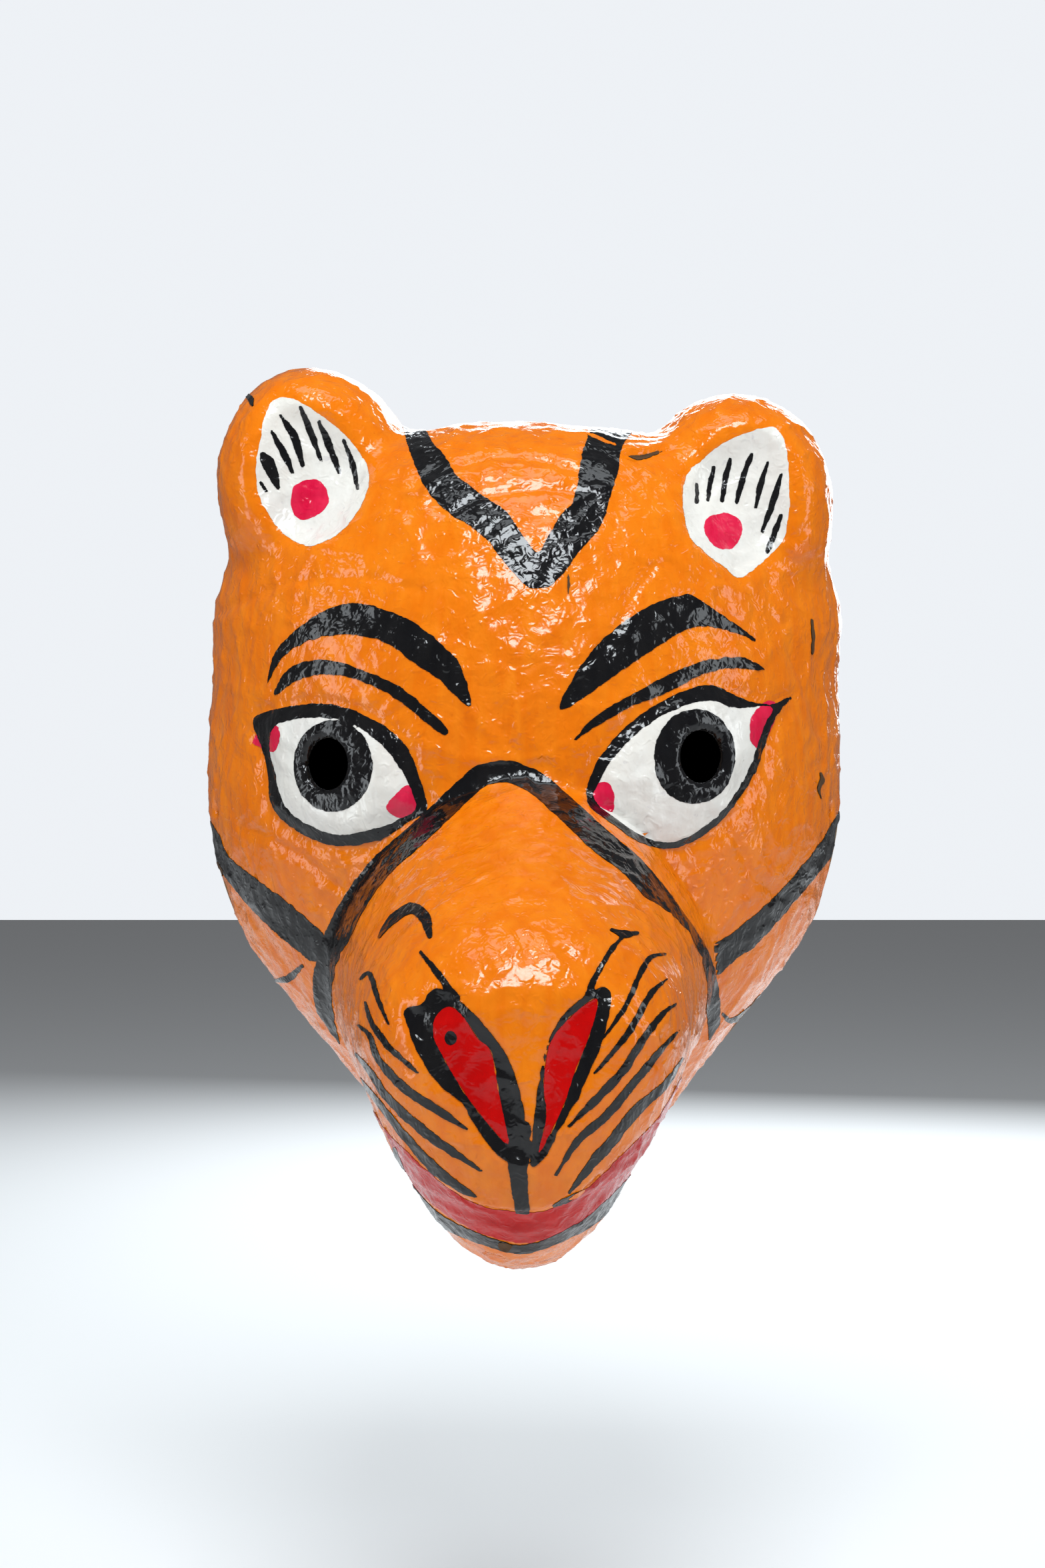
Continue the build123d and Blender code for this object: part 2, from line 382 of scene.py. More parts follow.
# Long strips of paper lie over one another, each with an edge that shows through the paint.
rng = np.random.default_rng(7)
for turn in rng.uniform(0, math.pi, 34):
    middle = rng.uniform((-85, -125), (85, 110))
    run = np.array([math.cos(turn), math.sin(turn)]) * rng.uniform(30, 55)
    bow = np.array([-run[1], run[0]]) * rng.uniform(-0.12, 0.12)
    width = rng.uniform(18, 30)
    strip = [(*(middle - run), width), (*(middle + bow), width), (*(middle + run), width)]
    relief += 0.16 * front * soft_step(-stroke_distance(uv, strip), -0.5, 0.5)

# Creases, lifted edges and tears of an old mask: a groove, or a step with its upper lip raised.
CREASES = [((79.5, 40), (83, 33), (86.5, 24), (89, 15)), ((-24, 80), (-12, 86), (2, 88.5), (17, 88)),
           ((-18, 95), (-6, 97.5), (8, 96), (16, 94)), ((-88, 52), (-70, 60), (-48, 62), (-30, 58)),
           ((24, 40), (40, 66), (52, 60)), ((-50, -36), (-66, -22), (-84, -12)), ((-8, 22), (-2, 10), (8,
                                                                                                       -6)),
           ((62, -14), (70, -28), (78, -34)), ((-86, -34), (-70, -56), (-62, -74)), ((12, -50), (28, -62),
                                                                                     (40, -84))]
for crease in CREASES:
    line = [(u, v, 0.0) for u, v in crease]
    relief -= 0.7 * front * np.exp(-(stroke_distance(uv, line) / 1.3) ** 2)
EAR_CRACK = [(31.5, 99.2), (35, 98.6), (38.6, 99.4), (42.4, 100.6)]
crack = stroke_distance(uv, [(u, v, 0.0) for u, v in EAR_CRACK])
over = uv[:, 1] > np.interp(uv[:, 0], *zip(*EAR_CRACK))
relief += np.where(over, 1.3, -0.8) * front * np.exp(-(crack / 2.2) ** 2)

dents = noise_at(points, 38.0, 3.1)
folds = 1 - np.abs(noise_at(points + 0.004 * dents[:, None], 13.0, 9.4)) * 2.6
small_folds = 1 - np.abs(noise_at(points + 0.002 * dents[:, None], 6.0, 21.4)) * 2.6
crumple = noise_at(points, 3.8, 17.7)
relief += 1.0 * dents + 0.55 * np.clip(folds, 0, 1) ** 4 + 0.26 * np.clip(small_folds, 0,
                                                                          1) ** 3 + 0.17 * crumple

# Where an ear ends, the side of the head runs straight on down.
side_fill = np.exp(-((uv[:, 1] - np.where(points[:, 0] > 0, 54, 52)) / 15) ** 2)
side_fill *= soft_step(np.abs(points[:, 0]), 66 * MM, 88 * MM) * outer
points[:, 0] += side_fill * np.where(points[:, 0] > 0, 3.6, -1.8) * MM
points += outward * (relief * MM)[:, None]
set_points(skin, points)
apply_modifier(skin, "SMOOTH", factor=0.3, iterations=1)
points = points_of(skin)
SIGHT_HOLES = ((-54.0, -99.5), (48.0, -97.5))        # x and z of their axes, mm
HOLE_ACROSS, HOLE_ALONG = 6.0, 7.4
hole_wall = np.zeros(len(points), bool)
for centre_x, centre_z in SIGHT_HOLES:
    across = (points[:, 0] / MM - centre_x) / HOLE_ACROSS
    along = (points[:, 2] / MM - centre_z) / HOLE_ALONG
    radius = np.maximum(np.hypot(across, along), 1e-6)
    here = (radius < 1.13) & (points[:, 1] < -20 * MM)
    points[here, 0] = (centre_x + HOLE_ACROSS * (across / radius)[here]) * MM
    points[here, 2] = (centre_z + HOLE_ALONG * (along / radius)[here]) * MM
    hole_wall |= here
set_points(skin, points)
points = points_of(skin)
normals = normals_of(skin)
uv = drawn(points)
print("relief from", round(relief.min(), 2), "to", round(relief.max(), 2), "mm")

# %% [markdown]
# Finishes. Each effect that several finishes share is a node group: the crinkle of dried paper under
# lacquer, and the drift of a hand-mixed colour. They put out only heights and masks. The Principled
# shader stays in each finish. The gloss of the lacquer is its low roughness.

# %% Node helpers
def new_group(name, inputs, outputs):
    tree = bpy.data.node_groups.new(name, "ShaderNodeTree")
    for label, value in inputs:
        tree.interface.new_socket(label, in_out="INPUT",
                                  socket_type="NodeSocketFloat").default_value = value
    for label in outputs:
        tree.interface.new_socket(label, in_out="OUTPUT", socket_type="NodeSocketFloat")
    return tree, tree.nodes.new("NodeGroupInput"), tree.nodes.new("NodeGroupOutput")


def noise_node(tree, vector, scale, kind="FBM", detail=4.0, roughness=0.55, distortion=0.0):
    node = tree.nodes.new("ShaderNodeTexNoise")
    node.noise_type = kind
    node.normalize = True
    for label, value in (("Scale", scale), ("Detail", detail), ("Roughness", roughness), ("Distortion",
                                                                                          distortion)):
        node.inputs[label].default_value = value
    tree.links.new(vector, node.inputs["Vector"])
    return node.outputs[0]


def math_node(tree, operation, a, b=None, c=None, clamp=False):
    node = tree.nodes.new("ShaderNodeMath")
    node.operation = operation
    node.use_clamp = clamp
    for socket, value in zip(node.inputs, (a, b, c)):
        if isinstance(value, (int, float)):
            socket.default_value = value
        elif value is not None:
            tree.links.new(value, socket)
    return node.outputs[0]


def range_node(tree, value, low, high, to_low=0.0, to_high=1.0):
    node = tree.nodes.new("ShaderNodeMapRange")
    tree.links.new(value, node.inputs["Value"])
    for label, number in (("From Min", low), ("From Max", high), ("To Min", to_low), ("To Max", to_high)):
        node.inputs[label].default_value = number
    return node.outputs[0]


# %% Node group: crinkled paper under lacquer
crinkle, into, out = new_group("crinkled_paper", [("Amount", 1.0)], ["Height", "Creases"])
place = crinkle.nodes.new("ShaderNodeTexCoord").outputs["Object"]
folds_low = noise_node(crinkle, place, 110.0, "RIDGED_MULTIFRACTAL", 3.0, 0.5, 0.8)
folds_high = noise_node(crinkle, place, 380.0, "RIDGED_MULTIFRACTAL", 3.0, 0.5, 1.0)
pores = noise_node(crinkle, place, 1100.0, "FBM", 2.0, 0.5)
broad = noise_node(crinkle, place, 70.0, "FBM", 3.0, 0.5, 1.0)
height = math_node(crinkle, "MULTIPLY_ADD", folds_low, 0.5, math_node(crinkle, "MULTIPLY", folds_high,
                                                                      0.24))
height = math_node(crinkle, "MULTIPLY_ADD", pores, 0.03, height)
height = math_node(crinkle, "MULTIPLY_ADD", broad, 0.9, height)
crinkle.links.new(math_node(crinkle, "MULTIPLY", height, into.outputs["Amount"]), out.inputs["Height"])
crinkle.links.new(range_node(crinkle, folds_low, 0.55, 0.85), out.inputs["Creases"])

# %% Node group: drift of a hand-mixed colour
drift, into, out = new_group("colour_drift", [], ["Patches", "Streaks", "Specks"])
place = drift.nodes.new("ShaderNodeTexCoord").outputs["Object"]
drift.links.new(range_node(drift, noise_node(drift, place, 26.0, "FBM", 5.0, 0.6, 0.8), 0.3, 0.7),
                out.inputs["Patches"])
stretch = drift.nodes.new("ShaderNodeMapping")
stretch.inputs["Scale"].default_value = (1.0, 1.0, 0.22)
drift.links.new(place, stretch.inputs["Vector"])
streaks = noise_node(drift, stretch.outputs[0], 240.0, "FBM", 3.0, 0.5, 0.4)
drift.links.new(range_node(drift, streaks, 0.35, 0.7), out.inputs["Streaks"])
specks = noise_node(drift, place, 480.0, "FBM", 2.0, 0.5)
drift.links.new(range_node(drift, specks, 0.68, 0.74), out.inputs["Specks"])


# %% A finish
def finish_of(name, base, deep, pale, roughness, relief_mm, amounts=(0.5, 0.5, 0.3), gloss=0.5):
    """A painted or raw paper finish: base colour drifting to deep and pale, darker along the creases as painted
    shade and dirt, with crinkle for bump.
    """
    material = bpy.data.materials.new(name)
    material.use_nodes = True
    tree = material.node_tree
    shader = tree.nodes["Principled BSDF"]
    paper = tree.nodes.new("ShaderNodeGroup")
    paper.node_tree = crinkle
    colours = tree.nodes.new("ShaderNodeGroup")
    colours.node_tree = drift
    colour = None
    for source, share, target in (("Patches", amounts[0], deep), ("Streaks", amounts[1], pale), ("Specks",
                                                                                                 amounts[2],
                                                                                                 deep)):
        mix = tree.nodes.new("ShaderNodeMix")
        mix.data_type = "RGBA"
        if colour is None:
            mix.inputs["A"].default_value = (*base, 1)
        else:
            tree.links.new(colour, mix.inputs["A"])
        mix.inputs["B"].default_value = (*target, 1)
        tree.links.new(math_node(tree, "MULTIPLY", colours.outputs[source], share), mix.inputs["Factor"])
        colour = mix.outputs["Result"]
    # Darker along the crinkle's folds: painted shade in the creases, and dirt caught there.
    crease_dirt_and_shade = tree.nodes.new("ShaderNodeMix")
    crease_dirt_and_shade.data_type = "RGBA"
    tree.links.new(colour, crease_dirt_and_shade.inputs["A"])
    crease_dirt_and_shade.inputs["B"].default_value = (*[c * 0.72 for c in deep], 1)
    tree.links.new(math_node(tree, "MULTIPLY", paper.outputs["Creases"], 0.3), crease_dirt_and_shade.inputs["Factor"])
    tree.links.new(crease_dirt_and_shade.outputs["Result"], shader.inputs["Base Color"])
    rough = range_node(tree, colours.outputs["Patches"], 0.0, 1.0, roughness * 0.85, roughness * 1.2)
    tree.links.new(rough, shader.inputs["Roughness"])
    bump = tree.nodes.new("ShaderNodeBump")
    shader.inputs["Specular IOR Level"].default_value = gloss
    bump.inputs["Strength"].default_value = 1.0
    bump.inputs["Distance"].default_value = relief_mm * MM
    tree.links.new(paper.outputs["Height"], bump.inputs["Height"])
    tree.links.new(bump.outputs["Normal"], shader.inputs["Normal"])
    return material


DRIFT = (0.5, 0.5, 0.3)
ORANGE = finish_of("lacquered_orange", (0.79, 0.172, 0.001), (0.62, 0.108, 0.001), (0.85, 0.24, 0.008),
                   0.15, 1.1, DRIFT, 0.36)
BLACK = finish_of("black_enamel", (0.004, 0.004, 0.005), (0.003, 0.002, 0.002), (0.012, 0.011, 0.011), 0.13,
                  1.2, DRIFT, 0.38)
WHITE = finish_of("white_enamel", (0.76, 0.72, 0.65), (0.52, 0.49, 0.50), (0.82, 0.80, 0.75), 0.17, 0.9,
                  (0.35, 0.5, 0.4), 0.45)
CRIMSON = finish_of("crimson_enamel", (0.66, 0.005, 0.05), (0.46, 0.002, 0.015), (0.80, 0.04, 0.10), 0.15,
                    0.9, DRIFT, 0.36)
SCARLET = finish_of("scarlet_enamel", (0.52, 0.001, 0.001), (0.30, 0.001, 0.001), (0.60, 0.003, 0.002),
                    0.14, 0.9, DRIFT, 0.24)
KRAFT = finish_of("kraft_paper", (0.33, 0.21, 0.115), (0.22, 0.13, 0.065), (0.46, 0.33, 0.20), 0.85, 0.6,
                  (0.7, 0.6, 0.6), 0.3)
# Dark brown of torn paper, darkened further as painted shade in the gaps of the cracks.
TORN_EDGE_AND_SHADE = finish_of("torn_edge_and_crack_shade", (0.075, 0.035, 0.014), (0.04, 0.018, 0.008), (0.14, 0.08, 0.04), 0.8, 0.6,
                 DRIFT, 0.2)
print("finishes", [m.name for m in bpy.data.materials])

# %% [markdown]
# The skin is cut into its named pieces along the joints. Each keeps the smooth normals of the whole
# skin, so that no seam shows, and wears lacquer outside and bare kraft paper inside.

# %% Cut the skin into its pieces
polygons = np.empty(len(skin.data.polygons) * 4, int)
skin.data.polygons.foreach_get("vertices", polygons)
quads = polygons.reshape(-1, 4)
quad_owner = np.array([np.bincount(owner[q], minlength=5).argmax() for q in quads])
quad_outer = outer[quads].sum(axis=1) >= 2
behind_rim = points[quads][:, :, 1].mean(axis=1) > -1.6 * MM
quad_outer &= ~(behind_rim & (normals[quads][:, :, 1].mean(axis=1) > 0.6))


def make_piece(name, verts, faces, vert_normals, materials, face_material=None):
    mesh = bpy.data.meshes.new(name)
    mesh.from_pydata(verts.tolist(), [], faces if isinstance(faces, list) else faces.tolist())
    for material in materials:
        mesh.materials.append(material)
    if face_material is not None:
        mesh.polygons.foreach_set("material_index", np.array(face_material, np.int32))
    mesh.polygons.foreach_set("use_smooth", [True] * len(mesh.polygons))
    mesh.update()
    mesh.normals_split_custom_set_from_vertices(vert_normals.tolist())
    piece = bpy.data.objects.new(name, mesh)
    bpy.context.collection.objects.link(piece)
    return piece


PIECE_NAMES = ("face_paper", "muzzle_paper", "jaw_paper", "left_ear_paper", "right_ear_paper")
for index, (name, node) in enumerate(zip(PIECE_NAMES, PAPER_NODES)):
    own = quads[quad_owner == index]
    used, flat = np.unique(own, return_inverse=True)
    coat = np.where(quad_outer[quad_owner == index], 0, 1)
    coat[hole_wall[own].any(axis=1)] = 2
    piece = make_piece(name, points[used], flat.reshape(-1, 4), normals[used], [ORANGE, KRAFT, BLACK], coat)
    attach(piece, "root")
    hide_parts(node)
    print(name, len(own), "quads")

# %% [markdown]
# Paint. Each coat is a thin film with its own thickness, cut out of the very same triangles as the
# paper under it, so it follows every wrinkle. The cut runs along the drawing's zero distance, with a
# little noise in it, as a brush on rough paper leaves.

# %% What the painter can reach
front_quads = quads[quad_outer]
triangles = np.vstack([front_quads[:, [0, 1, 2]], front_quads[:, [0, 2, 3]]])
whole = BVHTree.FromPolygons(points.tolist(), triangles.tolist())
eye_point = Vector((EYE_X * MM, -EYE_DISTANCE * MM, EYE_LEVEL * MM))


def seen_from_eye(point):
    ray = Vector(point) - eye_point
    hit = whole.ray_cast(eye_point, ray)
    return hit[3] is not None and hit[3] > ray.length - 1.2 * MM


reachable = np.zeros(len(points), bool)
for index in np.unique(triangles):
    reachable[index] = normals[index, 1] < 0.12 and seen_from_eye(points[index])
triangles = triangles[reachable[triangles].any(axis=1)]
triangle_owner = owner[triangles[:, 0]]
print("triangles in front of the painter", len(triangles))


# %% Cut a film of paint
def halved(verts, extra, faces):
    """Each triangle split into four, with the extra columns split alike."""
    edges = np.sort(faces[:, [0, 1, 1, 2, 2, 0]].reshape(-1, 2), axis=1)
    unique, back = np.unique(edges, axis=0, return_inverse=True)
    back = back.reshape(-1, 3) + len(verts)
    verts2 = np.vstack([verts, verts[unique].mean(axis=1)])
    extra2 = np.vstack([extra, extra[unique].mean(axis=1)])
    a, b, c = faces.T
    ab, bc, ca = back.T
    faces2 = np.vstack([np.column_stack(t) for t in ((a, ab, ca), (ab, b, bc), (ca, bc, c), (ab, bc, ca))])
    return verts2, extra2, faces2


def clipped(verts, extra, faces, value):
    """The part of a triangle mesh where value is negative."""
    verts, extra = list(verts), list(extra)
    value = np.where(np.abs(value) < 1e-3, -1e-3, value)
    made = {}

    def cut(i, j):
        key = (min(i, j), max(i, j))
        if key not in made:
            t = value[key[0]] / (value[key[0]] - value[key[1]])
            made[key] = len(verts)
            verts.append(verts[key[0]] + t * (verts[key[1]] - verts[key[0]]))
            extra.append(extra[key[0]] + t * (extra[key[1]] - extra[key[0]]))
        return made[key]

    inside = value[faces] < 0
    count = inside.sum(axis=1)
    kept = faces[count == 3].tolist()
    for face, flags in zip(faces[(count > 0) & (count < 3)].tolist(), inside[(count > 0) & (count < 3)]):
        if flags.sum() == 1:
            k = int(np.argmax(flags))
            a, b, c = face[k], face[(k + 1) % 3], face[(k + 2) % 3]
            kept.append([a, cut(a, b), cut(a, c)])
        else:
            k = int(np.argmin(flags))
            a, b, c = face[k], face[(k + 1) % 3], face[(k + 2) % 3]
            kept.append([cut(a, b), b, c])
            kept.append([cut(a, b), c, cut(a, c)])
    kept = np.array(kept)
    used, flat = np.unique(kept, return_inverse=True)
    return np.array(verts)[used], np.array(extra)[used], flat.reshape(-1, 3)


def skirted(verts, norms, faces, depth):
    """Closes the film's edge down to the paper."""
    edges = faces[:, [0, 1, 1, 2, 2, 0]].reshape(-1, 2)
    ordered = np.sort(edges, axis=1)
    unique, back, counts = np.unique(ordered, axis=0, return_inverse=True, return_counts=True)
    rim = edges[counts[back.ravel()] == 1]
    rim_verts, flat = np.unique(rim, return_inverse=True)
    low = verts[rim_verts] - norms[rim_verts] * depth
    flat = flat.reshape(-1, 2) + len(verts)
    walls = np.vstack([np.column_stack([rim[:, 1], rim[:, 0], flat[:, 0]]), np.column_stack([rim[:, 1],
                                                                                             flat[:, 0],
                                                                                             flat[:, 1]])])
    return np.vstack([verts, low]), np.vstack([norms, norms[rim_verts]]), np.vstack([faces, walls])


BRUSH_EDGE = 0.22          # mm that the brush's edge wanders


def paint(name, shapes, material, coat, owners=(0, 1, 2, 3, 4), limit=None):
    """A film of paint over all shapes, each a function of the drawing's points that gives a distance.

    A limit is a distance in space, for a stroke that runs round a side where the front view is blind."""
    rough = np.min([shape(uv) for shape in shapes], axis=0)
    picked = (rough[triangles].min(axis=1) < 2.0) & np.isin(triangle_owner, owners)
    used, flat = np.unique(triangles[picked], return_inverse=True)
    verts, norms, faces = halved(points[used], normals[used], flat.reshape(-1, 3))
    value = np.min([shape(drawn(verts)) for shape in shapes], axis=0)
    wander = BRUSH_EDGE * (noise_at(verts, 2.6, 31.0) + 0.6 * noise_at(verts, 0.9, 5.0)) * 1.6
    value += wander * np.clip(-1.6 * norms[:, 1], 0.0, 1.0)
    if limit is not None:
        value = np.maximum(value, limit(verts) + 2 * wander)
    verts, norms, faces = clipped(verts, norms, faces, value)
    norms /= np.linalg.norm(norms, axis=1)[:, None]
    verts, norms, faces = skirted(verts + norms * coat * MM, norms, faces, (coat + 0.06) * MM)
    piece = make_piece(name, verts, faces, norms, [material])
    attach(piece, "root")
    print(name, len(faces), "triangles")
    return piece


def area(knots):
    return lambda p: outline_distance(p, knots)


def stroke(*knots):
    return lambda p: stroke_distance(p, knots)


def ring(outside, inside):
    return lambda p: np.maximum(outline_distance(p, outside), -outline_distance(p, inside))


FACE, MUZZLE, JAW = range(3)

# %% [markdown]
# The white grounds go on first: the ovals in the ears and the whites of the eyes.

# %% White grounds
paint("left_ear_white", [area(LEFT_EAR_OVAL)], WHITE, 0.08)
paint("right_ear_white", [area(RIGHT_EAR_OVAL)], WHITE, 0.08)
paint("left_eye_white", [area(LEFT_EYE)], WHITE, 0.08, (FACE, MUZZLE))
paint("right_eye_white", [area(RIGHT_EYE)], WHITE, 0.08, (FACE, MUZZLE))

# %% [markdown]
# Reds: a dab in each ear, the corners of the eyes, the hollows of the nostrils and the mouth.

# %% Reds
def mouth_corner(verts):
    """Distance behind the corners of the mouth."""
    return verts[:, 1] / MM + 78.0


LEFT_EAR_DAB = [(-69, 88.5), (-65, 91), (-60.4, 90.8), (-58, 85), (-61, 81), (-66.2, 79.2), (-69, 82)]
RIGHT_EAR_DAB = [(54.4, 78.6), (60.2, 81.2), (65.4, 78.8), (65.4, 74), (62, 70.4), (56.6, 72)]
paint("ear_dabs", [area(LEFT_EAR_DAB), area(RIGHT_EAR_DAB)], CRIMSON, 0.13)
LEFT_OUTER_CORNER = [(-78, 16.6), (-73, 17), (-74, 10), (-79, 11), (-81, 13)]
LEFT_INNER_CORNER = [(-40.4, -5.8), (-34.2, -0.2), (-31, -7), (-36, -10), (-40, -8.4)]
RIGHT_INNER_CORNER = [(21, -0.8), (25.8, 0.4), (27.6, -4.4), (26.6, -8.6), (21, -5)]
RIGHT_OUTER_CORNER = [(68.4, 19.4), (73.4, 25), (76.4, 22.4), (72.2, 11.4), (68.8, 12.2)]
paint("eye_corner_reds", [area(LEFT_OUTER_CORNER), area(LEFT_INNER_CORNER), area(RIGHT_INNER_CORNER),
                          area(RIGHT_OUTER_CORNER)], CRIMSON, 0.13, (FACE, MUZZLE))
LEFT_NOSTRIL_RED = [(-22.2, -66.8), (-18.2, -69), (-13.4, -76.2), (-9.4, -80.2), (-7.2, -92), (-5.2,
                                                                                               -101.6),
                    (-4, -108.6), (-10.2, -102.2), (-17.4, -92.8), (-23, -83.4), (-26.8, -75.4), (-26,
                                                                                                  -69.8)]
RIGHT_NOSTRIL_RED = [(21.2, -64.4), (22.4, -67.6), (19.8, -76.2), (15.8, -86.4), (12.6, -96), (7.8, -106.2),
                     (4.6, -111), (7, -100), (6.2, -90.4), (7.8, -78.6), (12.6, -71.4)]
MOUTH_LOW = [(-44, -99), (-38.8, -109.6), (-34.8, -117.8), (-27.6, -125.6), (-18.2, -132), (-8.6, -136), (0,
                                                                                                          -137.6),
             (8.6, -136), (19, -130.4), (26.8, -124), (37.2, -113), (44.8, -98.5), (50, -88)]
paint("nostril_reds", [area(LEFT_NOSTRIL_RED), area(RIGHT_NOSTRIL_RED)], SCARLET, 0.2,
      (MUZZLE,))
paint("mouth_red", [area(LIP_EDGE + MOUTH_LOW[::-1])], SCARLET, 0.1, (MUZZLE, JAW),
      mouth_corner)

# %% [markdown]
# Black enamel comes last and covers the edges of everything under it. Widths are in millimetres and
# swell and thin as the brush was pressed and lifted.

# %% Black: chevron and brows
CHEVRON = [(-36, 109), (-32.5, 96), (-27.6, 86.8), (-21.2, 80.6), (-16, 77.6), (-10.6, 73.2), (-7.4, 69),
           (-2.6, 63),
           (0.8, 59.8), (4.2, 58.6), (7.6, 59.2), (10.6, 61.4), (13.6, 64.8), (16.4, 69.2), (21, 74), (23.8,
                                                                                                       78.2),
           (25.8, 84.6), (28.6, 93.8), (29.8, 101.2), (33.8, 108), (23.2, 109), (19.8, 104.6), (17.6, 97.6),
           (16.6, 90.6),
           (15, 84.6), (11.2, 80.2), (7.6, 74.2), (4.4, 69.4), (-0.4, 75.4), (-5.2, 81.8), (-13.2, 87.4),
           (-20.2, 93.2),
           (-23, 98), (-27, 102.5), (-30, 107)]
LEFT_BROW = [(-76.6, 30), (-73.8, 40), (-65.6, 48), (-57, 53), (-49, 54.2), (-39.2, 51.4), (-31.8, 48),
             (-25.2, 42.6),
             (-18.6, 35.4), (-15.4, 23.4), (-20.6, 27), (-25.2, 31.4), (-33.2, 36.6), (-38.4, 41), (-45,
                                                                                                    43.8),
             (-54.4, 45), (-63.6, 43.2), (-70.2, 39.6), (-74.4, 34.6)]
RIGHT_BROW = [(11, 22.4), (14.4, 30.4), (20.4, 39.4), (27.8, 46.6), (35.6, 52), (43, 55.4), (49.6, 56.8),
              (53.8, 54.8),
              (61.6, 49.4), (70.6, 42.8), (62.8, 45.6), (54.2, 47.4), (48.2, 45.8), (41.6, 42), (33.6,
                                                                                                 36.6),
                                                                                                 (25.8,
                                                                                                  31.4),
              (18.4, 25.8)]
paint("forehead_chevron", [area(CHEVRON)], BLACK, 0.16)
paint("left_brow", [area(LEFT_BROW)], BLACK, 0.16)
paint("right_brow", [area(RIGHT_BROW)], BLACK, 0.16)

# %% Black: eyes
LEFT_LID = [(-74.6, 26.6), (-70.4, 34.4), (-63.6, 36.9), (-55.6, 36.7), (-46.4, 33.5), (-37.2, 29.4),
            (-30.4, 24),
            (-22.8, 17), (-24.4, 15), (-33.2, 22), (-39.8, 26.8), (-50.4, 31.6), (-59.6, 32.8), (-67.4,
                                                                                                 31.2)]
RIGHT_LID = [(15.6, 13.2), (21.8, 20.2), (30.4, 25.6), (39, 30.2), (48.2, 34.8), (57.6, 37.5), (66.2, 37.8),
             (72.6, 34.2), (61.6, 34.8), (52.2, 32.2), (43, 27.2), (32.4, 23.2), (21.8, 17.2)]
LEFT_IRIS = ellipse((-56.8, 5.4), 11.8, 13.8)
RIGHT_IRIS = ellipse((51.6, 8.2), 12.2, 14.2, lean=-6)
paint("lid_lines", [area(LEFT_LID), area(RIGHT_LID)], BLACK, 0.16, (FACE,))
paint("left_eye_black", [ring(LEFT_EYE, LEFT_EYE_WHITE), area(LEFT_IRIS)], BLACK, 0.18,
      (FACE, MUZZLE))
paint("right_eye_black", [ring(RIGHT_EYE, RIGHT_EYE_WHITE), area(RIGHT_IRIS)], BLACK, 0.18,
      (FACE, MUZZLE))

# %% Black: ears
EAR_HAIRS = [
    stroke((-66.6, 113, 1.2), (-63.4, 105, 2.2), (-60.4, 97, 1.0)),
    stroke((-72.6, 110.6, 1.0), (-68.4, 104, 2.4), (-66, 95.6, 1.2)),
    stroke((-75.4, 105.8, 0.8), (-72, 100, 2.2), (-69, 93.6, 1.2)),
    stroke((-78, 99, 1.4), (-76, 95.4, 4.0), (-73.2, 89, 1.4)),
    stroke((-61, 108.6, 1.0), (-58, 101.4, 2.2), (-55, 93.4, 1.2)),
    stroke((-53.6, 103, 0.8), (-51, 96, 1.8), (-49.4, 88.6, 1.0)),
    stroke((-79, 91, 0.7), (-77, 88, 0.9)),
    stroke((52.2, 90, 0.9), (52.3, 84.6, 1.3)),
    stroke((57.4, 95, 0.9), (56.2, 90, 1.6), (55.6, 85.2, 1.0)),
    stroke((62.4, 97.6, 0.9), (60.8, 91, 1.9), (59.8, 85, 1.0)),
    stroke((68.8, 99, 0.9), (66.2, 92, 2.0), (64.2, 84.6, 1.0)),
    stroke((73.6, 96.4, 0.9), (71.6, 90, 2.0), (70, 83, 1.0)),
    stroke((77.8, 93, 0.9), (75, 84, 2.0), (71.8, 75.6, 1.0)),
    stroke((77.6, 80.6, 0.9), (75.6, 75, 2.0), (73.4, 69.6, 1.2)),
]
paint("ear_hairs", EAR_HAIRS, BLACK, 0.18)

# %% Black: muzzle band and cheek stripes
MUZZLE_BAND = [
    stroke((3.6, 0.6, 6.6), (-4, 3.6, 6.6), (-12, 2.6, 6.6), (-18, -2.2, 6.4), (-24, -8, 6.4), (-33, -16.4,
                                                                                                6.6),
           (-42.4, -24.8, 6.8), (-50.6, -35.8, 7.2), (-55.6, -46.2, 7.6), (-59, -55.2, 6.6), (-60, -63,
                                                                                              5.4),
           (-58.2, -72, 4.2), (-55.6, -80, 2.4)),
    stroke((-3.6, 3.6, 6.4), (4.2, 0.2, 6.8), (14, -8.4, 7.0), (24, -17.6, 7.2), (33.8, -25.6, 6.6), (44.2,
                                                                                                      -38.6,
                                                                                                      6.6),
           (52.6, -51.6, 6.6), (56.4, -62, 4.8), (57.4, -72, 3.6), (57, -81, 2.2)),
]
CHEEK_STRIPES = [
    area([(-96, -8), (-94.2, -10.2), (-90.8, -15.8), (-88, -21.8), (-80.2, -28.2), (-72.2, -34.2), (-65,
                                                                                                    -40.2),
                                                                                                    (-59.4,
                                                                                                     -46),
          (-61.8, -53.4), (-71.6, -46.6), (-80.2, -38.6), (-88.2, -29.2), (-93.4, -22), (-96, -19)]),
    area([(96, -7.6), (94, -9.8), (88.8, -18.4), (82.2, -26.4), (77.4, -32), (71.2, -38), (63.2, -44.4),
          (56, -50),
          (57.6, -57.6), (64.8, -51.8), (71.2, -47.2), (84, -32.4), (90, -25.2), (94, -20), (96, -17)]),
    stroke((-74.4, -59, 0.8), (-70, -58.2, 2.2), (-66.2, -54.6, 0.9)),
    stroke((60, -69, 0.8), (62.6, -71, 1.6), (67.2, -68.4, 1.6), (71.4, -63.4, 0.6)),
]


